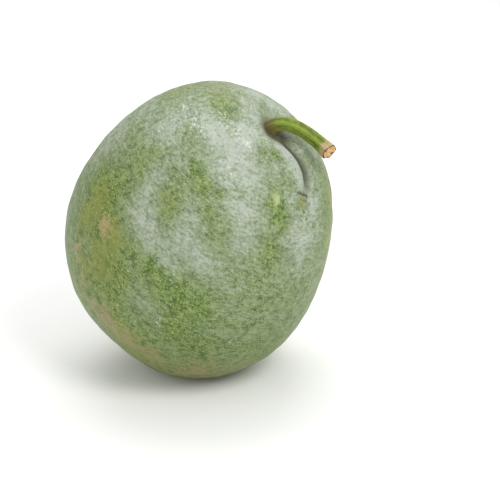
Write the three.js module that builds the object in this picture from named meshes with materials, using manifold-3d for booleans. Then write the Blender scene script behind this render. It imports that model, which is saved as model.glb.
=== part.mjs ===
// A whole round winter melon (wax gourd), as picked, resting on its own flattened underside.
//
// Millimetres, +Z up, +X to the right, -Y to the front. The origin is the centre of the flat
// resting spot. The fruit is one grown solid. The stem is a second one, and its foot is cut to the
// floor of the hollow that it grows from.

import * as THREE from 'three';
import { mergeVertices } from 'three/addons/utils/BufferGeometryUtils.js';
import Module from 'manifold-3d';

const { clamp, degToRad, euclideanModulo, radToDeg, smoothstep } = THREE.MathUtils;

// Body of the fruit: a long spheroid, a little fuller at the stem end.
const HALF_GIRTH = 131;
const HALF_LENGTH = 148;
const STEM_END_FULLER = 0.04; // share of the radius

// Directions that the body is laid out by, as degrees of tilt from straight up and of turn from +X.
const LONG_AXIS = { tilt: 8.3, turn: 18 };
const STEM_AXIS = { tilt: 34, turn: -26.5 };

// Rings of relief round the stem axis: height in millimetres, and spread in degrees.
const SHOULDER = { height: 14.4, spread: 40 };
const BASIN = { height: -9, spread: 16 };
const HOLLOW = { height: -7, spread: 8 };

// Flanks that grew flatter, high at the left and low at the front left.
const HIGH_FLANK = { tilt: 35, turn: 160, height: -5.8, spread: 30 };
const LOW_FLANK = { tilt: 141, turn: -144, height: -7, spread: 29.5 };

// Growth crease that runs out of the hollow and down the front of the shoulder, at one turn about
// the stem axis. It rises and fades over ranges of degrees from the axis.
const CREASE = { depth: 5.5, halfWidth: 5, turn: -45 };
const CREASE_RISES = { from: 3, to: 8 };
const CREASE_FADES = { from: 20, to: 31 };

// Resting spot: how much of the underside is flattened, and how softly its edge turns up.
const FLATTENING = 6;
const FLAT_EDGE = 2;
const LOWEST = 141.5; // from the body's centre down to its lowest point before it is flattened
const BODY_CENTRE = new THREE.Vector3(-2, 0, LOWEST - FLATTENING);

// Stem: control points of its centre line, from the floor of the hollow. Rise is along the stem
// axis, run is outwards down the +X side, and drift is across, to the back.
const STEM_LINE = [
  { rise: -4, run: 0, drift: 0 },
  { rise: 24, run: -8, drift: -8 },
  { rise: 13, run: 30, drift: -4 },
  { rise: 19, run: 50, drift: -23 },
];
const STEM_RADIUS = 7;
const STEM_FOOT = { swell: 3.5, length: 8 };
const STEM_TIP = { swell: 0.8, length: 10 };
const STEM_RIDGES = 5;
const RIDGE_HEIGHT = 0.07; // share of the radius
const FOOT_GAP = 0.4;

// Fineness of the two meshes.
const FRUIT_COLUMNS = 72;
const FRUIT_ROWS = 44;
const POLE_CROWDING = 0.6; // 0 spaces the rows evenly, and 1 crowds them most at both ends
const STEM_SIDES = 40;
const STEM_STEPS = 22;

/** Unit direction at a tilt from +Z and a turn about it from +X, both in degrees. */
function direction({ tilt, turn }) {
  const [t, u] = [degToRad(tilt), degToRad(turn)];
  return new THREE.Vector3(Math.sin(t) * Math.cos(u), Math.sin(t) * Math.sin(u), Math.cos(t));
}

// The body's axes and flanks as directions, and the two directions square to the stem axis.
const longAxis = direction(LONG_AXIS);
const stemAxis = direction(STEM_AXIS);
const outwards = new THREE.Vector3(1, 0, 0).projectOnPlane(stemAxis).normalize();
const across = new THREE.Vector3().crossVectors(stemAxis, outwards);
const rings = [SHOULDER, BASIN, HOLLOW].map((ring) => ({ ...ring, axis: stemAxis }));
const flanks = [HIGH_FLANK, LOW_FLANK].map((flank) => ({ ...flank, axis: direction(flank) }));

/** Height of a round swelling or hollow where the surface lies towards a direction. */
function relief({ axis, height, spread }, towards) {
  return height * Math.exp(-((radToDeg(towards.angleTo(axis)) / spread) ** 2));
}

/** Depth of the growth crease where the surface is at an angle, a turn and a radius. */
function creaseDepth(angle, turn, radius) {
  const aside = euclideanModulo(turn - CREASE.turn + 180, 360) - 180;
  const distance = degToRad(aside) * Math.sin(degToRad(angle)) * radius;
  const rises = smoothstep(angle, CREASE_RISES.from, CREASE_RISES.to);
  const fades = 1 - smoothstep(angle, CREASE_FADES.from, CREASE_FADES.to);
  return CREASE.depth * rises * fades * Math.exp(-((distance / CREASE.halfWidth) ** 2));
}

/** Distance from the body's centre to the skin, at an angle from the stem axis and a turn. */
function skinRadius(angle, turn, towards) {
  const along = towards.dot(longAxis);
  const spheroid = 1 / Math.hypot(along / HALF_LENGTH, Math.sqrt(1 - along ** 2) / HALF_GIRTH);
  const body = spheroid * (1 + STEM_END_FULLER * towards.dot(stemAxis));
  const raised = [...rings, ...flanks].reduce((sum, ring) => sum + relief(ring, towards), 0);
  return body + raised - creaseDepth(angle, turn, body);
}

/** Height after the underside is flattened at zero, with a soft edge round the flat. */
function flattened(height) {
  if (height <= -FLAT_EDGE) return 0;
  if (height >= FLAT_EDGE) return height;
  return (height + FLAT_EDGE) ** 2 / (4 * FLAT_EDGE);
}

/** Point of the skin at an angle from the stem axis and a turn about it, grown by an offset. */
function skinPoint(angle, turn, offset = 0) {
  const [a, u] = [degToRad(angle), degToRad(turn)];
  const towards = stemAxis.clone().multiplyScalar(Math.cos(a))
    .addScaledVector(outwards, Math.sin(a) * Math.cos(u))
    .addScaledVector(across, Math.sin(a) * Math.sin(u));
  const point = towards.clone().multiplyScalar(skinRadius(angle, turn, towards) + offset);
  point.add(BODY_CENTRE);
  point.z = flattened(point.z);
  return point;
}

/** Moves every vertex of a geometry by a function of its position, and joins equal vertices. */
function reshaped(geometry, place) {
  const position = geometry.getAttribute('position');
  const vertex = new THREE.Vector3();
  for (let i = 0; i < position.count; i += 1) {
    vertex.fromBufferAttribute(position, i);
    position.setXYZ(i, ...place(vertex).toArray());
  }
  geometry.deleteAttribute('normal');
  geometry.deleteAttribute('uv');
  return mergeVertices(geometry);
}

/** The fruit's skin as a closed mesh whose rows are rings about the stem axis. */
function fruitGeometry(offset = 0) {
  const sphere = new THREE.SphereGeometry(1, FRUIT_COLUMNS, FRUIT_ROWS);
  return reshaped(sphere, ({ x, y, z }) => {
    const even = Math.acos(clamp(y, -1, 1));
    const angle = even - (POLE_CROWDING * Math.sin(2 * even)) / 2;
    return skinPoint(radToDeg(angle), radToDeg(Math.atan2(-z, x)), offset);
  });
}

/** Centre line of the stem, from inside the hollow's floor to the cut tip. */
function stemLine() {
  const floor = skinPoint(0, 0);
  const points = STEM_LINE.map(({ rise, run, drift }) => floor.clone()
    .addScaledVector(stemAxis, rise)
    .addScaledVector(outwards, run)
    .addScaledVector(across, drift));
  return new THREE.CubicBezierCurve3(...points);
}

/** Radius of the stem at a distance from its foot and from its tip. */
function stemRadius(fromFoot, fromTip) {
  return STEM_RADIUS
    + STEM_FOOT.swell * Math.exp(-((fromFoot / STEM_FOOT.length) ** 2))
    + STEM_TIP.swell * Math.exp(-((fromTip / STEM_TIP.length) ** 2));
}

/** The stem's ridged section, one millimetre in mean radius. */
function stemSection() {
  const outline = Array.from({ length: STEM_SIDES }, (_, i) => {
    const turn = (i / STEM_SIDES) * 2 * Math.PI;
    const radius = 1 + RIDGE_HEIGHT * Math.cos(STEM_RIDGES * turn);
    return new THREE.Vector2(radius * Math.cos(turn), radius * Math.sin(turn));
  });
  return new THREE.Shape(outline);
}

/** The stem as a straight ridged bar of unit length, bent onto its centre line. */
function stemGeometry() {
  const line = stemLine();
  const length = line.getLength();
  const { normals, binormals } = line.computeFrenetFrames(STEM_STEPS);
  const bar = new THREE.ExtrudeGeometry(stemSection(), {
    depth: 1, steps: STEM_STEPS, bevelEnabled: false,
  });
  return reshaped(bar, ({ x, y, z }) => {
    const step = Math.round(z * STEM_STEPS);
    const radius = stemRadius(z * length, (1 - z) * length);
    return line.getPointAt(z)
      .addScaledVector(normals[step], x * radius)
      .addScaledVector(binormals[step], y * radius);
  });
}

const wasm = await Module();
wasm.setup();

/** A closed geometry as a solid that can be joined and cut. */
function toSolid(geometry) {
  return new wasm.Manifold(new wasm.Mesh({
    numProp: 3,
    vertProperties: new Float32Array(geometry.getAttribute('position').array),
    triVerts: new Uint32Array(geometry.index.array),
  }));
}

/** A solid as a geometry that a mesh can show. */
function toGeometry(solid) {
  const { vertProperties, triVerts } = solid.getMesh();
  const geometry = new THREE.BufferGeometry();
  geometry.setAttribute('position', new THREE.BufferAttribute(vertProperties, 3));
  geometry.setIndex(new THREE.BufferAttribute(triVerts, 1));
  geometry.computeVertexNormals();
  return geometry;
}

/** A named sub-part in its own material. */
function piece(name, geometry, colour, roughness) {
  const material = new THREE.MeshStandardMaterial({ color: colour, roughness, metalness: 0 });
  const mesh = new THREE.Mesh(geometry, material);
  mesh.name = name;
  return mesh;
}

const fruit = fruitGeometry();
fruit.computeVertexNormals();
const stem = toSolid(stemGeometry()).subtract(toSolid(fruitGeometry(FOOT_GAP)));

const melon = new THREE.Group();
melon.name = 'winter_melon';
melon.add(piece('melon_fruit', fruit, 0x9cb196, 0.62));
melon.add(piece('melon_stem', toGeometry(stem), 0x8b9a3a, 0.7));

export default melon;
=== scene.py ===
"""A whole round winter melon (wax gourd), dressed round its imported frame.

The fruit's rind and the stem are rebuilt as fine meshes from the same sizes as the frame's solids, and
take the frame's place. Lengths are named in millimetres and turned to metres where meshes are made.
"""

import logging
import math
from dataclasses import dataclass
from enum import Enum

import bpy
import numpy as np
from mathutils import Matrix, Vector

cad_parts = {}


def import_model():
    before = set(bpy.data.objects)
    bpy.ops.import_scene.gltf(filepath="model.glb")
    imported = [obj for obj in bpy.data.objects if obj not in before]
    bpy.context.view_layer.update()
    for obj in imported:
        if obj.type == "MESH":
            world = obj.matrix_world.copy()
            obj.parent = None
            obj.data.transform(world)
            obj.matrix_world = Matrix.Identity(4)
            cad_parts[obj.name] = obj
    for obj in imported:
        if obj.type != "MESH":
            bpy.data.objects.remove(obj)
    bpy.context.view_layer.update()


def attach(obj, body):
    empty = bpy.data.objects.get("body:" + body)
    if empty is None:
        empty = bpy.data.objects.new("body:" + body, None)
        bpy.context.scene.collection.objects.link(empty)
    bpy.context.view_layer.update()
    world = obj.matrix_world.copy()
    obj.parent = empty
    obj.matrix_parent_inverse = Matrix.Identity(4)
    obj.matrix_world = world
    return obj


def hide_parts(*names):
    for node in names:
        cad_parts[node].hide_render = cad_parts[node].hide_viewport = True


LOG = logging.getLogger("winter_melon")
MM = 0.001
BODY = "root"

# Optics of waxy and fibrous plant skin.
PLANT_WAX_IOR = 1.45
SOFT_SPECULAR = 0.35

Socket = bpy.types.NodeSocket
Rgba = tuple[float, float, float, float]


def linear(code: str) -> Rgba:
    """Turns an sRGB hex colour into linear light.

    Args:
        code: six hex digits, with or without a leading hash.

    Returns:
        The linear red, green and blue, with alpha 1.
    """
    digits = code.lstrip("#")
    channels = (int(digits[i : i + 2], 16) / 255 for i in (0, 2, 4))
    red, green, blue = ((c / 12.92 if c <= 0.04045 else ((c + 0.055) / 1.055) ** 2.4) for c in channels)
    return red, green, blue, 1.0


def add_node(
    tree: bpy.types.NodeTree, kind: str, settings: dict | None = None, **sockets: object
) -> bpy.types.Node:
    """Adds a node, with its settings, socket values and links.

    Args:
        tree: the node tree to add to.
        kind: the node's type name.
        settings: properties of the node itself, by name.
        **sockets: socket values or source sockets. An underscore stands for a space, and a name such as
            i0 is the input at that place.

    Returns:
        The new node.
    """
    node = tree.nodes.new(kind)
    for name, value in (settings or {}).items():
        setattr(node, name, value)
    for name, value in sockets.items():
        by_place = name[0] == "i" and name[1:].isdigit()
        socket = node.inputs[int(name[1:]) if by_place else name.replace("_", " ")]
        if isinstance(value, bpy.types.NodeSocket):
            tree.links.new(value, socket)
        else:
            socket.default_value = value
    return node


def smooth(value: np.ndarray, start: float, end: float) -> np.ndarray:
    """Rises smoothly from 0 at start to 1 at end.

    Args:
        value: where to read the curve.
        start: the value below which the result is 0.
        end: the value above which the result is 1.

    Returns:
        The curve's heights.
    """
    t = np.clip((value - start) / (end - start), 0, 1)
    return t * t * (3 - 2 * t)


def bell(distance: np.ndarray, spread: float) -> np.ndarray:
    """Bell curve of height 1 that falls to 1/e at the spread."""
    return np.exp(-((distance / spread) ** 2))


def towards(tilt: float, turn: float) -> np.ndarray:
    """Unit direction at a tilt from straight up and a turn from +X, both in degrees."""
    t, u = math.radians(tilt), math.radians(turn)
    return np.array([math.sin(t) * math.cos(u), math.sin(t) * math.sin(u), math.cos(t)])


def new_mesh(name: str, points: np.ndarray, faces: list, values: dict[str, np.ndarray]) -> bpy.types.Object:
    """Makes a smooth mesh object with its attributes.

    Args:
        name: the object's name.
        points: one row of metres for each vertex.
        faces: the faces' vertex numbers.
        values: attribute name to one number, or one row of three, for each vertex.

    Returns:
        The object, linked to the scene.
    """
    mesh = bpy.data.meshes.new(name)
    mesh.from_pydata(points.tolist(), [], faces)
    mesh.shade_smooth()
    for key, value in values.items():
        vector = value.ndim == 2
        attribute = mesh.attributes.new(key, "FLOAT_VECTOR" if vector else "FLOAT", "POINT")
        attribute.data.foreach_set("vector" if vector else "value", value.astype(np.float32).ravel())
    mesh.validate()
    made = bpy.data.objects.new(name, mesh)
    bpy.context.scene.collection.objects.link(made)
    return made


def tube_faces(order: np.ndarray, first_pole: int, last_pole: int) -> list[tuple[int, ...]]:
    """Faces of a closed tube, row by row, with each end drawn to one point.

    Args:
        order: vertex numbers, one row for each ring.
        first_pole: the vertex that closes the first ring.
        last_pole: the vertex that closes the last ring.

    Returns:
        The faces' vertex numbers.
    """
    beside = np.roll(order, -1, axis=1)
    faces = [(first_pole, a, b) for a, b in zip(order[0].tolist(), beside[0].tolist())]
    quads = np.stack([order[:-1], order[1:], beside[1:], beside[:-1]], -1)
    faces.extend(map(tuple, quads.reshape(-1, 4).tolist()))
    faces.extend((last_pole, b, a) for a, b in zip(order[-1].tolist(), beside[-1].tolist()))
    return faces


class Mark(Enum):
    """What shows in a blotch of the rind."""

    GREEN = "green"
    OLIVE = "olive"
    CORK = "cork"
    BLOOM = "bloom"
    FLECK = "fleck_and_highlight"
    BLUSH = "blush"


@dataclass(frozen=True)
class Blotch:
    """A soft-edged blotch of the rind, longer down the fruit than across it."""

    mark: Mark
    tilt: float
    turn: float
    radius: float
    strength: float = 1.0
    stretch: float = 1.5


# Blotches of the side that faces the front, from the stem end down. Angles are degrees, radii millimetres.
FRONT_BLOTCHES = (
    Blotch(Mark.GREEN, 24, -62, 8, 0.6),
    Blotch(Mark.GREEN, 30, -93, 9, 0.6, 2.0),
    Blotch(Mark.GREEN, 44, -45, 6, 0.9, 1.0),
    Blotch(Mark.GREEN, 42, -52, 8, 0.5),
    Blotch(Mark.GREEN, 45, -89, 7, 0.9),
    Blotch(Mark.GREEN, 50, -86, 7, 0.9),
    Blotch(Mark.GREEN, 60, -84, 7, 0.8),
    Blotch(Mark.GREEN, 54, -79, 6, 0.7, 1.0),
    Blotch(Mark.GREEN, 67, -81, 11, 0.5),
    Blotch(Mark.GREEN, 61, -54, 8, 0.8),
    Blotch(Mark.GREEN, 67, -53, 9, 0.9),
    Blotch(Mark.GREEN, 76, -59, 11, 0.6, 2.0),
    Blotch(Mark.GREEN, 44, -121, 13, 0.5),
    Blotch(Mark.GREEN, 33, -135, 14, 0.45),
    Blotch(Mark.GREEN, 50, -128, 15, 0.6),
    Blotch(Mark.GREEN, 55, -146, 16, 0.7),
    Blotch(Mark.GREEN, 59, -135, 14, 0.8),
    Blotch(Mark.GREEN, 58, -102, 15, 0.4),
    Blotch(Mark.GREEN, 76, -115, 9, 0.8),
    Blotch(Mark.GREEN, 82, -109, 10, 0.9),
    Blotch(Mark.GREEN, 88, -104, 10, 0.8),
    Blotch(Mark.GREEN, 94, -96, 12, 0.9),
    Blotch(Mark.GREEN, 99, -89, 14, 0.9),
    Blotch(Mark.GREEN, 92, -125, 20, 0.5),
    Blotch(Mark.GREEN, 110, -100, 15, 0.6),
    Blotch(Mark.GREEN, 119, -90, 16, 0.6),
    Blotch(Mark.GREEN, 117, -115, 16, 0.6),
    Blotch(Mark.GREEN, 75, -19, 15, 0.9),
    Blotch(Mark.OLIVE, 68, -12, 16, 0.8),
    Blotch(Mark.OLIVE, 86, -16, 18, 0.8),
    Blotch(Mark.OLIVE, 7, -149, 16, 0.5),
    Blotch(Mark.OLIVE, 19, -57, 12, 0.5),
    Blotch(Mark.OLIVE, 38, -117, 16, 0.4),
    Blotch(Mark.OLIVE, 56, -101, 14, 0.5),
    Blotch(Mark.OLIVE, 61, -141, 20, 0.9),
    Blotch(Mark.OLIVE, 68, -145, 18, 0.9),
    Blotch(Mark.OLIVE, 73, -126, 16, 0.8),
    Blotch(Mark.OLIVE, 84, -134, 24, 0.8),
    Blotch(Mark.OLIVE, 92, -145, 22, 0.7),
    Blotch(Mark.OLIVE, 88, -124, 16, 0.5),
    Blotch(Mark.OLIVE, 118, -129, 22, 0.7),
    Blotch(Mark.CORK, 83, -151, 12, 0.6),
    Blotch(Mark.CORK, 97, -148, 13, 0.6),
    Blotch(Mark.CORK, 108, -144, 14, 0.8),
    Blotch(Mark.CORK, 112, -135, 17, 0.9),
    Blotch(Mark.CORK, 122, -126, 17, 0.8),
    Blotch(Mark.CORK, 130, -116, 18, 0.8),
    Blotch(Mark.CORK, 140, -92, 26, 0.6),
    Blotch(Mark.CORK, 10, -30, 24, 0.55),
    Blotch(Mark.CORK, 22, 25, 22, 0.5),
    Blotch(Mark.BLUSH, 69, -132, 10, 1.0, 1.1),
    Blotch(Mark.BLUSH, 83, -150, 9, 0.6, 1.2),
    Blotch(Mark.BLOOM, 27, -88, 12),
    Blotch(Mark.BLOOM, 31, -76, 14),
    Blotch(Mark.BLOOM, 27, -34, 10, 0.6),
    Blotch(Mark.BLOOM, 37, -60, 14),
    Blotch(Mark.BLOOM, 29, -115, 12, 0.8),
    Blotch(Mark.BLOOM, 45, -70, 20, 0.9),
    Blotch(Mark.BLOOM, 48, -108, 14, 0.6),
    Blotch(Mark.BLOOM, 62, -69, 20, 0.9),
    Blotch(Mark.BLOOM, 65, -110, 20, 0.8),
    Blotch(Mark.BLOOM, 72, -97, 22, 0.8),
    Blotch(Mark.BLOOM, 78, -89, 20, 0.8),
    Blotch(Mark.BLOOM, 65, -34, 14, 0.9),
    Blotch(Mark.BLOOM, 79, -43, 20, 0.9),
    Blotch(Mark.BLOOM, 99, -117, 13, 0.6),
    Blotch(Mark.BLOOM, 106, -106, 9, 0.7),
    Blotch(Mark.BLOOM, 108, -87, 12, 0.5),
    Blotch(Mark.FLECK, 18, -97, 7),
    Blotch(Mark.FLECK, 26, -87, 12, 0.9),
    Blotch(Mark.FLECK, 26, -66, 12, 0.8),
    Blotch(Mark.FLECK, 34, -62, 6, 1.0),
    Blotch(Mark.FLECK, 38, -59, 6, 1.0),
    Blotch(Mark.FLECK, 29, -115, 8, 0.7),
    Blotch(Mark.FLECK, 29, -150, 10, 0.5),
    Blotch(Mark.FLECK, 26, -33, 10, 0.8),
    Blotch(Mark.FLECK, 46, -73, 12, 0.5),
    Blotch(Mark.FLECK, 106, -106, 6, 0.9),
)


def hidden_blotches(seed: int, count: int) -> list[Blotch]:
    """Scatters blotches over the back and the underside, like those of the front.

    Args:
        seed: fixes the scatter.
        count: how many blotches to make.

    Returns:
        The blotches.
    """
    rng = np.random.default_rng(seed)
    kinds = (Mark.GREEN, Mark.OLIVE, Mark.CORK, Mark.BLOOM, Mark.BLOOM, Mark.FLECK)
    made = []
    for _ in range(count):
        turn = rng.uniform(-5, 185)
        tilt = math.degrees(math.acos(rng.uniform(-0.9, 0.95)))
        high = tilt < 80
        kind = kinds[rng.integers(3, 6)] if high and rng.random() < 0.6 else kinds[rng.integers(0, 4)]
        small = kind in (Mark.FLECK, Mark.CORK)
        radius = rng.uniform(6, 11) if small else rng.uniform(10, 24)
        made.append(Blotch(kind, tilt, turn, radius, rng.uniform(0.5, 1.0)))
    return made


@dataclass(frozen=True)
class Noise:
    """Fractal noise of a skin."""

    size: float  # about how wide its largest blobs are, in millimetres
    detail: float = 3
    roughness: float = 0.6
    along: str = ""  # the mesh attribute that it runs along, if any


@dataclass(frozen=True)
class Layer:
    """A colour that shows over those below it, by a mask painted on the mesh and by noises."""

    colour: str | Socket
    mask: str = ""
    low: float = 0.0  # the sum of mask and noises at which none of it shows
    high: float = 1.0  # the sum at which it shows most
    ragged: tuple[tuple[str, float], ...] = ()  # each noise's name and weight
    cover: float = 1.0  # how much shows at most


class SkinNodes:
    """The node tree of a plant's skin, built up in layers of colour."""

    def __init__(self, name: str, noises: dict[str, Noise]) -> None:
        """Starts the material with its noises.

        Args:
            name: the material's name.
            noises: the noises by name.
        """
        self.material = bpy.data.materials.new(name)
        self.material.use_nodes = True
        self.tree = self.material.node_tree
        self.tree.nodes.clear()
        self.noises = {}
        on_object = add_node(self.tree, "ShaderNodeTexCoord").outputs["Object"]
        for key, noise in noises.items():
            place = on_object
            if noise.along:
                settings = {"attribute_name": noise.along}
                place = add_node(self.tree, "ShaderNodeAttribute", settings).outputs["Vector"]
            sizes = {"Scale": 1 / (noise.size * MM), "Detail": noise.detail}
            sizes |= {"Vector": place, "Roughness": noise.roughness}
            self.noises[key] = add_node(self.tree, "ShaderNodeTexNoise", **sizes).outputs["Fac"]

    def weighed(self, *parts: tuple[str, float]) -> Socket | float:
        """Adds up noises, each centred on zero.

        Args:
            *parts: each noise's name and weight.

        Returns:
            The total, or 0 if there are no noises.
        """
        total = -0.5 * sum(weight for _, weight in parts)
        for key, weight in parts:
            sizes = {"i0": self.noises[key], "i1": weight, "i2": total}
            total = add_node(self.tree, "ShaderNodeMath", {"operation": "MULTIPLY_ADD"}, **sizes).outputs[0]
        return total

    def share(self, layer: Layer) -> Socket:
        """How much of a layer shows.

        Args:
            layer: the layer.

        Returns:
            Values from 0 to the layer's cover.
        """
        total = self.weighed(*layer.ragged)
        if layer.mask:
            mask = add_node(self.tree, "ShaderNodeAttribute", {"attribute_name": layer.mask})
            total = add_node(self.tree, "ShaderNodeMath", i0=mask.outputs["Fac"], i1=total).outputs[0]
        falls = layer.low > layer.high
        ends = {"From Min": min(layer.low, layer.high), "From Max": max(layer.low, layer.high)}
        ends |= {"To Min": layer.cover * falls, "To Max": layer.cover * (not falls)}
        settings = {"interpolation_type": "SMOOTHSTEP"}
        return add_node(self.tree, "ShaderNodeMapRange", settings, Value=total, **ends).outputs["Result"]

    def lay(self, below: Socket | str, *layers: Layer) -> Socket:
        """Lays layers over a colour.

        Args:
            below: the colour, as a socket or an sRGB hex colour.
            *layers: the layers, the lowest first.

        Returns:
            The colour that shows.
        """
        shown = linear(below) if isinstance(below, str) else below
        for layer in layers:
            over = linear(layer.colour) if isinstance(layer.colour, str) else layer.colour
            colours = {"i0": self.share(layer), "i6": shown, "i7": over}
            shown = add_node(self.tree, "ShaderNodeMix", {"data_type": "RGBA"}, **colours).outputs[2]
        return shown

    def finish(
        self, colour: Socket, roughness: Socket | float, relief: Socket, strength: float, height: float
    ) -> bpy.types.Material:
        """Joins colour, roughness and bumps into the skin.

        Args:
            colour: the base colour.
            roughness: the roughness.
            relief: the bump's pattern.
            strength: how strongly the bump shows.
            height: the bump's height in millimetres.

        Returns:
            The material.
        """
        sizes = {"Strength": strength, "Distance": height * MM}
        bump = add_node(self.tree, "ShaderNodeBump", Height=relief, **sizes).outputs["Normal"]
        looks = {"Base Color": colour, "Roughness": roughness, "Normal": bump}
        looks |= {"IOR": PLANT_WAX_IOR, "Specular IOR Level": SOFT_SPECULAR}
        shader = add_node(self.tree, "ShaderNodeBsdfPrincipled", **looks)
        add_node(self.tree, "ShaderNodeOutputMaterial", Surface=shader.outputs["BSDF"])
        return self.material


@dataclass(frozen=True)
class WaxyRind:
    """Winter melon rind: a green skin with a dusty wax bloom that grew on it.

    The bloom scatters light, so it is pale, grey and matt. Where it is thin or rubbed off, the skin
    shows darker, yellower and a little glossy.
    """

    name: str = "winter melon rind, waxy bloom on green skin"
    deep_skin: str = "#405a20"
    pale_skin: str = "#7e9148"
    pit: str = "#3c4c1c"
    speck: str = "#aab47c"
    wart: str = "#b3bc86"
    olive: str = "#7a8233"
    cork: str = "#8c7f52"
    blush: str = "#b3946c"
    thin_bloom: str = "#828e74"
    thick_bloom: str = "#adb4ab"
    # Near-white of the flecks, also used for painted highlights on the lips of the hollow and the crease.
    fleck_and_highlight: str = "#d6ddd6"
    # Dark brown of dirt, also used as painted shade in the stem hollow, under the stem and along the
    # crease.
    dirt_and_shade: str = "#403826"
    skin_roughness: float = 0.42
    bloom_roughness: float = 0.66
    bump_strength: float = 0.5
    bump_height: float = 0.7

    def build(self) -> bpy.types.Material:
        """Builds the node material.

        Returns:
            The material.
        """
        # Drifts and streaks run from the stem down the fruit, as its veins do. The finest grain of the
        # bloom is under 1 mm, and is drawn at 1.5 mm so that it shows.
        noises = {
            "clouds": Noise(46, detail=4, roughness=0.55),
            "drifts": Noise(16, detail=4, along="growth"),
            "mottles": Noise(7),
            "grain": Noise(2.6, detail=2),
            "streaks": Noise(2.2, along="growth"),
            "fine": Noise(1.5, detail=2, roughness=0.5),
        }
        nodes = SkinNodes(self.name, noises)

        tone = (("mottles", 1.1), ("streaks", 0.9), ("fine", 1.1))
        in_olive = (("mottles", 1.0), ("clouds", 0.6), ("streaks", 0.8))
        in_cork = (("mottles", 1.2), ("streaks", 0.9))
        speckle = (("fine", 1.0), ("grain", 0.6))
        in_blush = (("mottles", 0.9), ("streaks", 0.9), ("fine", 0.7))
        skin = nodes.lay(
            self.deep_skin,
            Layer(self.pale_skin, "", -0.32, 0.32, tone),
            Layer(self.olive, "olive", 0.1, 1.1, in_olive),
            Layer(self.cork, "cork", 0.2, 1.1, in_cork),
            Layer(self.pit, "", -0.12, -0.3, speckle, cover=0.75),
            Layer(self.speck, "", 0.1, 0.3, speckle, cover=0.85),
            Layer(self.blush, "blush", 0.1, 1.2, in_blush, cover=0.7),
        )

        # The bloom is whiter where it is thick. It rubs off along streaks, in drifts and in grains.
        patchy = (("drifts", 0.9), ("mottles", 0.5), ("grain", 0.7), ("streaks", 0.8))
        wax = nodes.lay(self.thin_bloom, Layer(self.thick_bloom, "bloom", 0.28, 1.15, patchy))
        worn = (("clouds", 0.5), ("drifts", 0.5), ("mottles", 0.5))
        worn += (("streaks", 0.9), ("grain", 0.7), ("fine", 0.4))
        bloom = Layer(wax, "bloom", -0.1, 1.0, worn, cover=0.9)

        on_wart = (("grain", 1.2), ("mottles", 0.6))
        in_fleck = (("fine", 1.6), ("grain", 1.0), ("streaks", 0.8))
        in_dirt_and_shade = (("grain", 0.4), ("mottles", 0.4))
        colour = nodes.lay(
            skin,
            bloom,
            Layer(self.wart, "wart", 0.1, 1.0, on_wart, cover=0.75),
            # White flecks, and the painted highlights on the lips of the stem hollow and the crease.
            Layer(self.fleck_and_highlight, "fleck_and_highlight", 0.48, 0.92, in_fleck, cover=0.75),
            # Painted shade with some dirt: the stem hollow, the shadow under the stem and the crease; real
            # dirt in the crack.
            Layer(self.dirt_and_shade, "dirt_and_shade", 0.15, 0.9, in_dirt_and_shade, cover=0.85),
        )

        ends = {"From Max": bloom.cover, "To Min": self.skin_roughness, "To Max": self.bloom_roughness}
        rough = add_node(nodes.tree, "ShaderNodeMapRange", Value=nodes.share(bloom), **ends)
        relief = nodes.weighed(("fine", 0.4), ("grain", 0.5), ("streaks", 0.5), ("mottles", 0.5))
        return nodes.finish(colour, rough.outputs["Result"], relief, self.bump_strength, self.bump_height)


@dataclass(frozen=True)
class Ring:
    """A round swelling, or a hollow if its height is negative, about a direction."""

    tilt: float
    turn: float
    height: float
    spread: float


@dataclass(frozen=True)
class Spot:
    """A small round place on the rind, by its direction in degrees and its radius in millimetres."""

    tilt: float
    turn: float
    radius: float

    def apart(self, way: np.ndarray, reach: np.ndarray | float) -> np.ndarray:
        """Distances from the spot's middle.

        Args:
            way: unit directions.
            reach: distance from the body's centre to the skin.

        Returns:
            The distances in millimetres.
        """
        return np.linalg.norm(way - towards(self.tilt, self.turn), axis=-1) * reach


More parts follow.
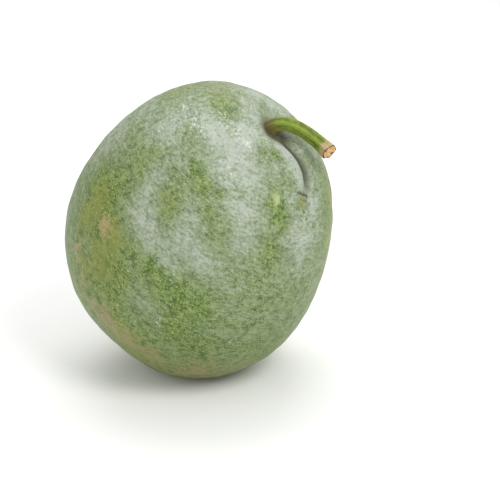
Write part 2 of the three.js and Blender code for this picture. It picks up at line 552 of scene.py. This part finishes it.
@dataclass
class Fruit:
    """The fruit: a leaning spheroid with a raised shoulder, a stem hollow and a growth crease.

    Sizes are millimetres and degrees. Those above the wart are the frame's own.
    """

    half_girth: float = 131
    half_length: float = 148
    stem_end_fuller: float = 0.04
    long_axis: tuple[float, float] = (8.3, 18)
    stem_axis: tuple[float, float] = (34, -26.5)
    centre: tuple[float, float, float] = (-2, 0, 135.5)
    rings: tuple[tuple[float, float], ...] = ((14.4, 40), (-9, 16), (-7, 8))
    flanks: tuple[Ring, ...] = (Ring(35, 160, -5.8, 30), Ring(141, -144, -7, 29.5))
    crease_turn: float = -45
    crease_depth: float = 5.5
    flat_edge: float = 2
    wart: Spot = Spot(59.6, -53.5, 4.4)
    scab: Spot = Spot(63.5, -39.4, 6)
    crack_turn: float = -53
    crack_angle: float = 28.2
    crack_half_length: float = 6.5
    blossom_radius: float = 9
    columns: int = 400
    rows: int = 240
    pole_crowding: float = 0.5
    rind: WaxyRind = WaxyRind()

    def __post_init__(self) -> None:
        """Works out the directions that the fruit is laid out by."""
        self.axis = towards(*self.stem_axis)
        side = np.array([1.0, 0, 0])
        outwards = side - (side @ self.axis) * self.axis
        self.outwards = outwards / np.linalg.norm(outwards)
        self.across = np.cross(self.axis, self.outwards)

    def direction(self, angle: np.ndarray, turn: np.ndarray) -> np.ndarray:
        """Unit directions at angles from the stem axis and turns about it, in radians.

        Args:
            angle: angles from the stem axis.
            turn: turns about the stem axis, from the outward direction.

        Returns:
            One row for each direction.
        """
        a, t = np.asarray(angle)[..., None], np.asarray(turn)[..., None]
        return np.cos(a) * self.axis + np.sin(a) * (np.cos(t) * self.outwards + np.sin(t) * self.across)

    def radius(self, angle: np.ndarray, turn: np.ndarray) -> np.ndarray:
        """Distance from the body's centre to the skin, without the small features.

        Args:
            angle: angles from the stem axis, in radians.
            turn: turns about the stem axis, in radians.

        Returns:
            The distances in millimetres.
        """
        way = self.direction(angle, turn)
        along = way @ towards(*self.long_axis)
        body = 1 / np.sqrt((along / self.half_length) ** 2 + (1 - along**2) / self.half_girth**2)
        body = body * (1 + self.stem_end_fuller * np.cos(angle))
        for height, spread in self.rings:
            body = body + height * bell(np.degrees(angle), spread)
        for flank in self.flanks:
            apart = np.degrees(np.arccos(np.clip(way @ towards(flank.tilt, flank.turn), -1, 1)))
            body = body + flank.height * bell(apart, flank.spread)
        return body

    def crease_side(self, angle: np.ndarray, turn: np.ndarray, radius: np.ndarray) -> np.ndarray:
        """Distance from the crease's line along the skin. The line wanders a little on its way down.

        Args:
            angle: angles from the stem axis, in radians.
            turn: turns about the stem axis, in radians.
            radius: distances from the centre to the skin.

        Returns:
            The distances in millimetres, negative on the crease's left.
        """
        wander = 6 * bell(np.degrees(angle) - 18, 8) - 3 * smooth(np.degrees(angle), 20, 30)
        aside = (np.degrees(turn) - self.crease_turn - wander + 180) % 360 - 180
        return np.radians(aside) * np.sin(angle) * radius

    def crease_reach(self, angle: np.ndarray) -> np.ndarray:
        """How far the crease is developed on its way down.

        Args:
            angle: angles from the stem axis, in radians.

        Returns:
            Values from 0 to 1.
        """
        degrees = np.degrees(angle)
        return smooth(degrees, 3, 8) * (1 - smooth(degrees, 21, 33))

    def relief(self, angle: np.ndarray, turn: np.ndarray, radius: np.ndarray) -> np.ndarray:
        """Heights of the small features: crease, wart, crack, blossom scar and lumps.

        Args:
            angle: angles from the stem axis, in radians.
            turn: turns about the stem axis, in radians.
            radius: distances from the centre to the plain skin.

        Returns:
            The heights in millimetres.
        """
        side = self.crease_side(angle, turn, radius)
        reach = self.crease_reach(angle)
        trench = 0.6 * bell(side, 9) + 0.45 * bell(side, 4)
        lips = 1.0 * bell(side + 11, 5) + 1.0 * bell(side - 10, 5)
        height = reach * (lips - self.crease_depth * trench)

        way = self.direction(angle, turn)
        point = way * radius[..., None]
        height += self._wart(way, radius)
        height -= 0.9 * bell(self._crack_distance(angle, turn, radius), 1.1)
        height += self._blossom_scar(angle, radius)
        height += self._waves(point, seed=3, count=26, wavelength=(60, 130), size=0.5)
        height += self._waves(point, seed=4, count=40, wavelength=(14, 30), size=0.16)
        return height

    def _wart(self, way: np.ndarray, radius: np.ndarray) -> np.ndarray:
        """A small corky wart on the front of the shoulder, 2 mm high with a dent in its top.

        Args:
            way: unit directions.
            radius: distances from the centre to the plain skin.

        Returns:
            The heights in millimetres.
        """
        distance = self.wart.apart(way, radius)
        return 2.0 * bell(distance, self.wart.radius) - 0.5 * bell(distance, self.wart.radius / 3)

    def _crack_distance(self, angle: np.ndarray, turn: np.ndarray, radius: np.ndarray) -> np.ndarray:
        """Distance to the short, slanting healed crack across the foot of the crease.

        Args:
            angle: angles from the stem axis, in radians.
            turn: turns about the stem axis, in radians.
            radius: distances from the centre to the skin.

        Returns:
            The distances in millimetres.
        """
        aside = (np.degrees(turn) - self.crack_turn + 180) % 360 - 180
        across = np.radians(aside) * np.sin(angle) * radius
        slant = 0.09 * across
        along = np.radians(np.degrees(angle) - self.crack_angle - slant) * radius
        along += 0.5 * np.sin(across * 0.9)
        beyond = np.maximum(np.abs(across) - self.crack_half_length, 0)
        return np.hypot(along, beyond * 0.8)

    def _blossom_scar(self, angle: np.ndarray, radius: np.ndarray) -> np.ndarray:
        """The dimple and the corky ring where the flower was, opposite the stem.

        Args:
            angle: angles from the stem axis, in radians.
            radius: distances from the centre to the plain skin.

        Returns:
            The heights in millimetres.
        """
        distance = (math.pi - angle) * radius
        ring = 1.1 * bell(distance - self.blossom_radius, 2.2)
        return ring - 3.2 * bell(distance, 20) - 1.2 * bell(distance, 4)

    @staticmethod
    def _waves(
        point: np.ndarray, seed: int, count: int, wavelength: tuple[float, float], size: float
    ) -> np.ndarray:
        """Random smooth lumps as a sum of plane waves.

        Args:
            point: positions in millimetres.
            seed: fixes the lumps.
            count: how many waves to add.
            wavelength: the shortest and longest wave in millimetres.
            size: how high the lumps are, on average.

        Returns:
            The heights in millimetres.
        """
        rng = np.random.default_rng(seed)
        total = np.zeros(point.shape[:-1])
        for _ in range(count):
            way = rng.normal(size=3)
            way *= 2 * math.pi / (rng.uniform(*wavelength) * np.linalg.norm(way))
            total += np.cos(point @ way + rng.uniform(0, 2 * math.pi))
        return total * size * math.sqrt(2 / count)

    def settle(self, point: np.ndarray) -> np.ndarray:
        """Flattens the underside at zero height, with a soft edge round the flat.

        Args:
            point: points of the skin in millimetres. Their heights are changed.

        Returns:
            The same points.
        """
        height, edge = point[..., 2], self.flat_edge
        soft = (height + edge) ** 2 / (4 * edge)
        point[..., 2] = np.where(height >= edge, height, np.where(height <= -edge, 0, soft))
        return point

    def skin(self, angle: np.ndarray, turn: np.ndarray) -> np.ndarray:
        """Points of the skin, in millimetres.

        Args:
            angle: angles from the stem axis, in radians.
            turn: turns about the stem axis, in radians.

        Returns:
            One row for each point.
        """
        plain = self.radius(angle, turn)
        reach = plain + self.relief(angle, turn, plain)
        return self.settle(self.direction(angle, turn) * reach[..., None] + np.array(self.centre))

    def stem_floor(self) -> np.ndarray:
        """The point at the bottom of the stem hollow, in millimetres."""
        return self.axis * self.radius(np.zeros(1), np.zeros(1))[0] + np.array(self.centre)

    def paint(self, angle: np.ndarray, turn: np.ndarray) -> dict[str, np.ndarray]:
        """Works out where each mark of the rind shows.

        Args:
            angle: angles from the stem axis, in radians.
            turn: turns about the stem axis, in radians.

        Returns:
            Attribute name to its value at each point.
        """
        way = self.direction(angle, turn)
        low = -way[..., 2]
        masks = {mark: np.zeros(len(angle)) for mark in Mark}
        for blotch in (*FRONT_BLOTCHES, *hidden_blotches(seed=11, count=70)):
            masks[blotch.mark] = np.maximum(masks[blotch.mark], self._blotch(way, blotch))
        from_axis = angle * self.half_girth
        scab = bell(self.scab.apart(way, self.half_girth), self.scab.radius)
        blossom = bell((math.pi - angle) * self.half_girth - 6, 7)
        # A painted highlight on the lit lip of the stem hollow, on one side only.
        painted_rim_highlight = bell(from_axis - 19, 1.8) * bell(np.degrees(turn) + 100, 45)
        side = self.crease_side(angle, turn, self.half_girth)
        # A painted highlight along the crease's lit lip, on one side only.
        painted_lip_highlight = bell(side + 9, 3) * self.crease_reach(angle)
        olive = masks[Mark.OLIVE] + 0.55 * smooth(low, 0.25, 0.9)
        cork = masks[Mark.CORK] + 0.8 * scab + blossom + 0.35 * smooth(low, 0.6, 1)
        return {
            "growth": self._growth(angle, turn) * MM,
            "bloom": np.clip(self._bloom(angle, turn, masks) - 0.5 * scab, 0, 1),
            "olive": np.clip(olive, 0, 1),
            "cork": np.clip(cork, 0, 1),
            "blush": masks[Mark.BLUSH],
            # Real white flecks, with the painted highlights of the hollow's lip and the crease's lip laid
            # in the same near-white.
            "fleck_and_highlight": 0.55 * masks[Mark.FLECK] + 0.25 * painted_lip_highlight + 0.8 * painted_rim_highlight,
            "wart": bell(self.wart.apart(way, self.half_girth), self.wart.radius),
            # Painted shade with some dirt in the hollow, under the stem and in the crease, and dirt in the
            # crack.
            "dirt_and_shade": np.clip(self._dirt_and_shade_mask(angle, turn), 0, 1),
        }

    def _growth(self, angle: np.ndarray, turn: np.ndarray) -> np.ndarray:
        """Places for streaks that run from the stem down the fruit, much longer than they are wide.

        Args:
            angle: angles from the stem axis, in radians.
            turn: turns about the stem axis, in radians.

        Returns:
            One row of millimetres for each point, squeezed 3.5 times across.
        """
        wide = self.half_girth / 3.5
        return np.stack([wide * np.cos(turn), wide * np.sin(turn), angle * self.half_girth], -1)

    def _bloom(self, angle: np.ndarray, turn: np.ndarray, masks: dict[Mark, np.ndarray]) -> np.ndarray:
        """How thick the wax bloom is: thicker on top, thinner below and on the left, and rubbed off in
        blotches. The rise to the top and the fall to the left are painted light, a paler lit top and a
        darker shaded underside and left side.

        Args:
            angle: angles from the stem axis, in radians.
            turn: turns about the stem axis, in radians.
            masks: how strongly each mark shows.

        Returns:
            Thicknesses, about 0 to 1.
        """
        way = self.direction(angle, turn)
        rubbed = masks[Mark.GREEN] + masks[Mark.OLIVE] + 0.7 * masks[Mark.CORK] + masks[Mark.BLUSH]
        # Painted light: the base rises towards the top and falls towards the left, making the lit top paler
        # and the shaded lower and left side darker.
        bloom = 0.43 + 0.22 * way[..., 2] - 0.1 * smooth(-way[..., 0], 0.3, 0.9)
        bloom += 0.32 * masks[Mark.BLOOM] - 0.5 * np.minimum(rubbed, 1)
        # A painted highlight: paler, thicker bloom along the crease's lit lip, on one side only.
        side = self.crease_side(angle, turn, self.half_girth)
        bloom += 0.22 * self.crease_reach(angle) * bell(side + 12, 8)
        return bloom + 0.12 * bell(angle * self.half_girth - 30, 9)

    def _dirt_and_shade_mask(self, angle: np.ndarray, turn: np.ndarray) -> np.ndarray:
        """Where dark brown shows: painted shade with some dirt in the hollow and along the crease, painted
        shadow below the stem, and dirt and cork in the crack.

        Args:
            angle: angles from the stem axis, in radians.
            turn: turns about the stem axis, in radians.

        Returns:
            Values from 0 up.
        """
        from_axis = angle * self.half_girth
        side = self.crease_side(angle, turn, self.half_girth)
        low = smooth(np.degrees(angle), 13, 24)
        # The crease's dark seam: painted shade in its trench, with some dirt.
        crease_shade_and_dirt = (0.9 - 0.3 * low) * bell(side, 3 + 2.5 * low) + 0.2 * bell(side, 9)
        aside, below = from_axis * np.cos(turn) - 4, from_axis * np.sin(turn) + 11
        # Painted shadow below the stem, off towards the crease's side.
        shade = 1.1 * bell(np.hypot(aside / 1.3, below), 9)
        crack = bell(self._crack_distance(angle, turn, 1.12 * self.half_girth), 1.5)
        # Round the stem's foot the hollow is darkened too, painted shade with some dirt; the crack's line
        # is dirt.
        return np.maximum(self.crease_reach(angle) * crease_shade_and_dirt, shade) + 0.9 * bell(from_axis, 13) + crack

    def _blotch(self, way: np.ndarray, blotch: Blotch) -> np.ndarray:
        """How strongly a blotch shows in each direction.

        Args:
            way: unit directions.
            blotch: the blotch.

        Returns:
            Values from 0 to the blotch's strength.
        """
        centre = towards(blotch.tilt, blotch.turn)
        down = centre * centre[2] - np.array([0.0, 0.0, 1.0])
        down /= np.linalg.norm(down)
        offset = (way - centre) * self.half_girth
        along = offset @ down
        across = np.linalg.norm(offset - along[..., None] * down, axis=-1)
        return blotch.strength * bell(np.hypot(along / blotch.stretch, across), blotch.radius)

    def build(self) -> bpy.types.Object:
        """Builds the rind as one closed mesh.

        Returns:
            The object.
        """
        # Rows crowd towards both poles, where the hollow and the blossom scar need finer faces.
        even = np.linspace(0, math.pi, self.rows + 1)[1:-1]
        rings = even - self.pole_crowding * np.sin(2 * even) / 2
        turns = np.arange(self.columns) / self.columns * 2 * math.pi
        angle = np.concatenate([[0.0], np.repeat(rings, self.columns), [math.pi]])
        turn = np.concatenate([[0.0], np.tile(turns, len(rings)), [0.0]])
        points = self.skin(angle, turn) * MM
        order = np.arange(1, len(points) - 1).reshape(-1, self.columns)
        faces = tube_faces(order, first_pole=0, last_pole=len(points) - 1)
        rind = new_mesh("fruit_rind", points, faces, self.paint(angle, turn))
        rind.data.materials.append(self.rind.build())
        return rind


@dataclass(frozen=True)
class StemSkin:
    """Winter melon stalk: green ribbed skin, corky at its foot, dried and tan at its cut. The foot's brown
    is also laid along the underside near the foot as painted shade.

    Its fibres run lengthwise, so it is streaky and half matt, with no bloom on it.
    """

    name: str = "winter melon stalk, green skin drying at the cut"
    ridge: str = "#7f932f"
    valley: str = "#4f6119"
    stale: str = "#8c8434"
    # Brown of the corky foot, also laid on the stalk's underside near the foot as painted shade.
    foot: str = "#6e6336"
    dried: str = "#a8956c"
    face: str = "#d2b182"
    shaded_face: str = "#c39a63"
    pit: str = "#3a2413"
    roughness: float = 0.55
    bump_strength: float = 0.6
    bump_height: float = 0.5

    def build(self) -> bpy.types.Material:
        """Builds the node material.

        Returns:
            The material.
        """
        # Fibres are bundles about 1.6 mm wide. Specks are the ends of cut vessels.
        noises = {
            "fibres": Noise(1.6, along="fibre"),
            "patches": Noise(6),
            "specks": Noise(1.1, detail=2),
        }
        nodes = SkinNodes(self.name, noises)
        ribbed = (("fibres", 1.4), ("patches", 1.2))
        drying = (("fibres", 0.9), ("patches", 1.4))
        cut = nodes.lay(self.shaded_face, Layer(self.face, "", -0.2, 0.2, (("specks", 1.0),)))
        colour = nodes.lay(
            self.valley,
            Layer(self.ridge, "ridge", -0.1, 1.1, ribbed),
            Layer(self.stale, "", 0.02, 0.3, (("fibres", 0.6), ("patches", 1.0)), cover=0.6),
            # The corky foot, with painted shade along the underside near it.
            Layer(self.foot, "foot", 0.2, 0.9, drying),
            Layer(self.dried, "dried", 0.25, 0.9, drying),
            Layer(cut, "face"),
            Layer(self.pit, "pit", 0.2, 0.8, (("specks", 0.35),)),
        )
        relief = nodes.weighed(("fibres", 0.8), ("specks", 0.4))
        return nodes.finish(colour, self.roughness, relief, self.bump_strength, self.bump_height)


@dataclass
class Stem:
    """The stem: a ribbed stalk swept from the hollow over the shoulder, cut off square.

    Control points are rise along the stem axis, run outwards and drift across, in millimetres.
    """

    fruit: Fruit
    line: tuple[tuple[float, float, float], ...] = (
        (-4, 0, 0),
        (25, -8, -8),
        (15.5, 33, 1),
        (18.5, 52, -24),
    )
    length: float = 74
    radius: float = 6.5
    foot_swell: float = 2.6
    foot_length: float = 8
    tip_swell: float = 1.2
    tip_length: float = 10
    ridges: int = 5
    ridge_height: float = 0.07
    rib_height: float = 0.025
    twist: float = 0.5
    sides: int = 120
    steps: int = 150
    face_rings: int = 14
    bundles: int = 6
    skin: StemSkin = StemSkin()

    def points(self) -> list[Vector]:
        """The centre line's control points.

        Returns:
            The points in metres.
        """
        frame = (self.fruit.axis, self.fruit.outwards, self.fruit.across)
        floor = self.fruit.stem_floor()
        return [Vector((floor + sum(d * f for d, f in zip(step, frame))) * MM) for step in self.line]

    def sweep_tree(self) -> bpy.types.NodeTree:
        """Geometry Nodes that sweep the ribbed section along the centre line.

        Returns:
            The node tree.
        """
        tree = bpy.data.node_groups.new("ribbed stalk along a curve", "GeometryNodeTree")
        kinds = dict.fromkeys(("Start", "Start Handle", "End Handle", "End"), "NodeSocketVector")
        kinds |= dict.fromkeys(("Radius", "Foot Swell", "Foot Length"), "NodeSocketFloat")
        kinds |= dict.fromkeys(("Tip Swell", "Tip Length", "Ridges"), "NodeSocketFloat")
        kinds |= dict.fromkeys(("Ridge Height", "Rib Height", "Twist"), "NodeSocketFloat")
        kinds |= dict.fromkeys(("Sides", "Steps"), "NodeSocketInt")
        kinds |= {"Material": "NodeSocketMaterial"}
        for name, kind in kinds.items():
            tree.interface.new_socket(name, in_out="INPUT", socket_type=kind)
        tree.interface.new_socket("Geometry", in_out="OUTPUT", socket_type="NodeSocketGeometry")
        given = add_node(tree, "NodeGroupInput").outputs

        def swollen(width: Socket, distance: Socket, height: Socket, length: Socket) -> Socket:
            """Widens the stalk towards one of its ends.

            Args:
                width: the radius without this swelling.
                distance: how far away the end is.
                height: what the radius gains at the end.
                length: the distance at which the gain has fallen to 1/e.

            Returns:
                The radius.
            """
            share = add_node(tree, "ShaderNodeMath", {"operation": "DIVIDE"}, i0=distance, i1=length)
            square = {"i0": share.outputs[0], "i1": share.outputs[0]}
            power = add_node(tree, "ShaderNodeMath", {"operation": "MULTIPLY"}, **square).outputs[0]
            fall = add_node(tree, "ShaderNodeMath", {"operation": "POWER"}, i0=1 / math.e, i1=power)
            parts = {"i0": fall.outputs[0], "i1": height, "i2": width}
            return add_node(tree, "ShaderNodeMath", {"operation": "MULTIPLY_ADD"}, **parts).outputs[0]

        path = add_node(
            tree,
            "GeometryNodeCurvePrimitiveBezierSegment",
            Resolution=96,
            Start=given["Start"],
            Start_Handle=given["Start Handle"],
            End_Handle=given["End Handle"],
            End=given["End"],
        )
        even = add_node(tree, "GeometryNodeResampleCurve", Curve=path.outputs[0], Count=given["Steps"])
        from_foot = add_node(tree, "GeometryNodeSplineParameter").outputs["Length"]
        whole = add_node(tree, "GeometryNodeCurveLength", Curve=path.outputs[0]).outputs["Length"]
        rest = add_node(tree, "ShaderNodeMath", {"operation": "SUBTRACT"}, i0=whole, i1=from_foot)
        width = swollen(given["Radius"], from_foot, given["Foot Swell"], given["Foot Length"])
        width = swollen(width, rest.outputs[0], given["Tip Swell"], given["Tip Length"])
        sized = add_node(tree, "GeometryNodeSetCurveRadius", Curve=even.outputs[0], Radius=width)
        gone = add_node(tree, "ShaderNodeMath", {"operation": "DIVIDE"}, i0=from_foot, i1=whole).outputs[0]
        twist = add_node(tree, "ShaderNodeMath", {"operation": "MULTIPLY"}, i0=gone, i1=given["Twist"])
        leant = {"Curve": sized.outputs[0], "Tilt": twist.outputs[0]}
        turned = add_node(tree, "GeometryNodeSetCurveTilt", **leant).outputs[0]

        # The section: a circle with broad ridges, and three times as many fine ribs.
        ring = add_node(tree, "GeometryNodeCurvePrimitiveCircle", Resolution=given["Sides"], Radius=1.0)
        share = add_node(tree, "GeometryNodeSplineParameter").outputs["Factor"]
        around = add_node(tree, "ShaderNodeMath", {"operation": "MULTIPLY"}, i0=share, i1=given["Ridges"])
        swell = 1.0
        for waves, height in ((1, "Ridge Height"), (3, "Rib Height")):
            turn = {"i0": around.outputs[0], "i1": 2 * math.pi * waves}
            angle = add_node(tree, "ShaderNodeMath", {"operation": "MULTIPLY"}, **turn).outputs[0]
            wave = add_node(tree, "ShaderNodeMath", {"operation": "COSINE"}, i0=angle).outputs[0]
            parts = {"i0": wave, "i1": given[height], "i2": swell}
            swell = add_node(tree, "ShaderNodeMath", {"operation": "MULTIPLY_ADD"}, **parts).outputs[0]
        spot = add_node(tree, "GeometryNodeInputPosition").outputs[0]
        scale = {"operation": "SCALE"}
        moved = add_node(tree, "ShaderNodeVectorMath", scale, Vector=spot, Scale=swell).outputs[0]
        section = add_node(tree, "GeometryNodeSetPosition", Geometry=ring.outputs[0], Position=moved)
        sweep = add_node(tree, "GeometryNodeCurveToMesh", Curve=turned, Profile_Curve=section.outputs[0])
        if "Scale" in sweep.inputs:
            tree.links.new(add_node(tree, "GeometryNodeInputRadius").outputs[0], sweep.inputs["Scale"])
        real = add_node(tree, "GeometryNodeRealizeInstances", Geometry=sweep.outputs[0]).outputs[0]
        done = add_node(tree, "GeometryNodeSetMaterial", Geometry=real, Material=given["Material"])
        add_node(tree, "NodeGroupOutput", Geometry=done.outputs[0])
        return tree

    def sweep(self, material: bpy.types.Material) -> bpy.types.Object:
        """Runs the sweep and keeps its result as a plain mesh.

        Args:
            material: what the stalk is made of.

        Returns:
            An object with the open ribbed tube.
        """
        start, first, second, end = self.points()
        sizes = {
            "Start": start,
            "Start Handle": first,
            "End Handle": second,
            "End": end,
            "Radius": self.radius * MM,
            "Foot Swell": self.foot_swell * MM,
            "Foot Length": self.foot_length * MM,
            "Tip Swell": self.tip_swell * MM,
            "Tip Length": self.tip_length * MM,
            "Ridges": float(self.ridges),
            "Ridge Height": self.ridge_height,
            "Rib Height": self.rib_height,
            "Twist": self.twist,
            "Sides": self.sides,
            "Steps": self.steps,
            "Material": material,
        }
        return run_nodes("stem_sweep", self.sweep_tree(), sizes)

    def build(self) -> bpy.types.Object:
        """Builds the stalk with its cut face as one closed mesh.

        Returns:
            The object.
        """
        material = self.skin.build()
        tube = self.sweep(material)
        grid = np.array([v.co for v in tube.data.vertices]).reshape(self.steps, self.sides, 3) / MM
        bpy.data.objects.remove(tube)
        rows, pits = self._with_cut_face(grid)
        ends = np.array([rows[0].mean(0), grid[-1].mean(0)])
        points = np.concatenate([rows.reshape(-1, 3), ends])
        order = np.arange(rows.shape[0] * self.sides).reshape(-1, self.sides)
        faces = tube_faces(order, first_pole=len(points) - 2, last_pole=len(points) - 1)
        stalk = new_mesh("stem_stalk", points * MM, faces, self.paint(grid, pits))
        fix_outwards(stalk)
        stalk.data.materials.append(material)
        return stalk

    def _with_cut_face(self, grid: np.ndarray) -> tuple[np.ndarray, np.ndarray]:
        """Adds the rings of the rough, pitted cut face to the tube's rings.

        Args:
            grid: the tube's points, ring by ring.

        Returns:
            All rings, and how dark each point of the face's rings is.
        """
        centre, rim = grid[-1].mean(0), grid[-1]
        along = centre - grid[-2].mean(0)
        along /= np.linalg.norm(along)
        turn = np.arange(self.sides) / self.sides * 2 * math.pi
        rings, dark = [], []
        for step in range(1, self.face_rings + 1):
            share = 1 - step / (self.face_rings + 1)
            pit = self._pits(share, turn)
            ragged = 0.35 * np.sin(7 * turn + 1) * share + 0.25 * np.sin(17 * turn) * share
            height = 0.5 * (1 - share**4) + ragged - 1.5 * pit
            rings.append(centre + (rim - centre) * share + along * height[:, None])
            brown_edge = 0.7 + 0.3 * np.sin(5 * turn + 2)
            dark.append(np.maximum(pit, brown_edge * smooth(np.full(self.sides, share), 0.78, 0.93)))
        return np.concatenate([grid, np.array(rings)]), np.array(dark)

    def paint(self, grid: np.ndarray, dark: np.ndarray) -> dict[str, np.ndarray]:
        """Works out where each look of the stalk shows.

        Args:
            grid: the tube's points, ring by ring.
            dark: how dark each point of the cut face's rings is.

        Returns:
            Attribute name to its value at each point, with the two closing points last.
        """
        turn = np.arange(self.sides) / self.sides * 2 * math.pi
        along = np.repeat(np.linspace(0, self.length, self.steps)[:, None], self.sides, 1)
        face = np.ones(dark.shape)
        ridge = np.tile(0.5 + 0.3 * np.cos(self.ridges * turn), (self.steps, 1))
        outward = grid - grid.mean(1, keepdims=True)
        outward /= np.linalg.norm(outward, axis=-1, keepdims=True)
        # Painted shade: the underside near the foot, facing down, is given the foot's brown.
        underside_shade = smooth(-outward[..., 2], 0.1, 0.95) * smooth(along, 0, 20)
        foot = np.maximum(1 - smooth(along, 8, 22), 0.8 * underside_shade)
        dried = smooth(along, self.length - 16, self.length - 2)
        dark_rim = 0.75 * smooth(along, self.length - 1.4, self.length)
        parts = {
            "ridge": (ridge, face, 0, 0),
            # The corky foot, and the painted shade along the underside near it.
            "foot": (foot, 0 * face, 1, 0),
            "dried": (dried, face, 0, 1),
            "face": (0 * along, face, 0, 1),
            "pit": (dark_rim, dark, 0, 0.6),
        }
        values = {
            name: np.concatenate([tube.ravel(), cut.ravel(), [first, last]])
            for name, (tube, cut, first, last) in parts.items()
        }
        return values | {"fibre": self._fibre(self.steps + self.face_rings) * MM}

    def _fibre(self, count: int) -> np.ndarray:
        """Places for fibres that run along the stalk, seven times longer than they are wide.

        Args:
            count: how many rings there are.

        Returns:
            One row of millimetres for each point, with the two closing points last.
        """
        turn = np.tile(np.arange(self.sides) / self.sides * 2 * math.pi, count)
        along = np.repeat(np.arange(count) / self.steps * self.length / 7, self.sides)
        fibre = np.stack([self.radius * np.cos(turn), self.radius * np.sin(turn), along], -1)
        return np.concatenate([fibre, fibre[:1], fibre[-1:]])

    def _pits(self, share: float, turn: np.ndarray) -> np.ndarray:
        """How deep the vessels of the cut face are at a share of its radius.

        Args:
            share: share of the face's radius.
            turn: turns about the stalk.

        Returns:
            Depths from 0 to 1.
        """
        rng = np.random.default_rng(5)
        depth = np.zeros(len(turn))
        for bundle in range(self.bundles):
            at = (bundle + rng.uniform(-0.25, 0.25)) / self.bundles * 2 * math.pi
            out = rng.uniform(0.5, 0.68)
            size = rng.uniform(0.12, 0.28)
            aside = share * np.cos(turn) - out * math.cos(at)
            apart = np.hypot(aside, share * np.sin(turn) - out * math.sin(at))
            depth = np.maximum(depth, rng.uniform(0.5, 1.0) * bell(apart, size))
        return np.maximum(depth, 0.6 * bell(np.full(len(turn), share), 0.12))


def run_nodes(name: str, tree: bpy.types.NodeTree, sizes: dict[str, object]) -> bpy.types.Object:
    """Runs a Geometry Nodes tree and keeps the result as a plain mesh object.

    Args:
        name: the object's name.
        tree: the node tree.
        sizes: input name to value.

    Returns:
        The object, with no modifier.
    """
    holder = bpy.data.objects.new(name + "_nodes", bpy.data.meshes.new(name + "_nodes"))
    bpy.context.scene.collection.objects.link(holder)
    modifier = holder.modifiers.new("nodes", "NODES")
    modifier.node_group = tree
    for item in tree.interface.items_tree:
        if item.in_out == "INPUT" and item.name in sizes:
            modifier[item.identifier] = sizes[item.name]
    graph = bpy.context.evaluated_depsgraph_get()
    mesh = bpy.data.meshes.new_from_object(holder.evaluated_get(graph), depsgraph=graph)
    bpy.data.objects.remove(holder)
    made = bpy.data.objects.new(name, mesh)
    bpy.context.scene.collection.objects.link(made)
    return made


def fix_outwards(made: bpy.types.Object) -> None:
    """Turns a closed mesh's faces outwards if they point inwards.

    Args:
        made: the mesh object.
    """
    mesh = made.data
    volume = 0.0
    for face in mesh.polygons:
        volume += face.center.dot(face.normal) * face.area
    if volume < 0:
        mesh.flip_normals()


@dataclass(frozen=True)
class Light:
    """A soft square light."""

    name: str
    place: tuple[float, float, float]  # metres
    size: float  # its side, in metres
    power: float  # watts


@dataclass
class Studio:
    """Pale floor, soft lights and a camera a little above the melon's middle."""

    aim: Vector
    distance: float = 1.5
    elevation: float = 20
    lens: float = 108
    beside: float = 0.0552
    below: float = 0.0118
    world_strength: float = 0.72
    floor_size: float = 12
    lights: tuple[Light, ...] = (
        Light("key", (1.0, -1.3, 1.7), 0.9, 26),
        Light("fill", (-1.6, -1.2, 0.8), 1.4, 6),
        Light("top", (0.0, 1.2, 2.2), 2.0, 30),
    )

    def build(self) -> None:
        """Builds the floor, the lights, the world and the camera."""
        self._floor()
        for light in self.lights:
            self._light(light)
        world = bpy.data.worlds.new("soft studio")
        world.use_nodes = True
        background = world.node_tree.nodes["Background"]
        background.inputs["Color"].default_value = linear("#ffffff")
        background.inputs["Strength"].default_value = self.world_strength
        bpy.context.scene.world = world
        bpy.context.scene.view_settings.view_transform = "Standard"
        self._camera()

    def _floor(self) -> None:
        """A plain floor, matt and nearly white, so that it takes a faint soft shadow."""
        half = self.floor_size / 2
        corners = np.array([(-half, -half, 0), (half, -half, 0), (half, half, 0), (-half, half, 0)])
        floor = new_mesh("studio_floor", corners, [(0, 1, 2, 3)], {})
        material = bpy.data.materials.new("matt white paper floor")
        material.use_nodes = True
        shader = material.node_tree.nodes["Principled BSDF"]
        shader.inputs["Base Color"].default_value = linear("#f2f2f1")
        shader.inputs["Roughness"].default_value = 0.9
        floor.data.materials.append(material)

    def _light(self, light: Light) -> None:
        """Hangs a light and turns it to the melon.

        Args:
            light: the light.
        """
        data = bpy.data.lights.new(light.name, "AREA")
        data.size = light.size
        data.energy = light.power
        lamp = bpy.data.objects.new(light.name, data)
        lamp.location = light.place
        lamp.rotation_euler = (self.aim - Vector(light.place)).to_track_quat("-Z", "Y").to_euler()
        bpy.context.scene.collection.objects.link(lamp)

    def _camera(self) -> None:
        """A long lens that looks down on the melon and sets it left of the middle."""
        e = math.radians(self.elevation)
        right, up = Vector((1, 0, 0)), Vector((0, math.sin(e), math.cos(e)))
        back = Vector((0, -math.cos(e), math.sin(e)))
        data = bpy.data.cameras.new("camera")
        data.lens = self.lens
        camera = bpy.data.objects.new("camera", data)
        camera.location = self.aim + back * self.distance
        target = self.aim + right * self.beside - up * self.below
        camera.rotation_euler = (target - camera.location).to_track_quat("-Z", "Y").to_euler()
        bpy.context.scene.collection.objects.link(camera)
        bpy.context.scene.camera = camera


def main() -> None:
    """Builds the melon round its frame, and the studio round the melon."""
    logging.basicConfig(level=logging.INFO, format="%(name)s: %(message)s")
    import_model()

    fruit = Fruit()
    stem = Stem(fruit)
    Studio(Vector(fruit.centre) * MM).build()
    for made, node, slot in (
        (fruit.build(), "melon_fruit", "waxy_rind"),
        (stem.build(), "melon_stem", "green_stem"),
    ):
        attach(made, BODY)
        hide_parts(node)
        LOG.info("%s: %d faces, stands for %s", made.name, len(made.data.polygons), node)


if __name__ == "__main__":
    main()
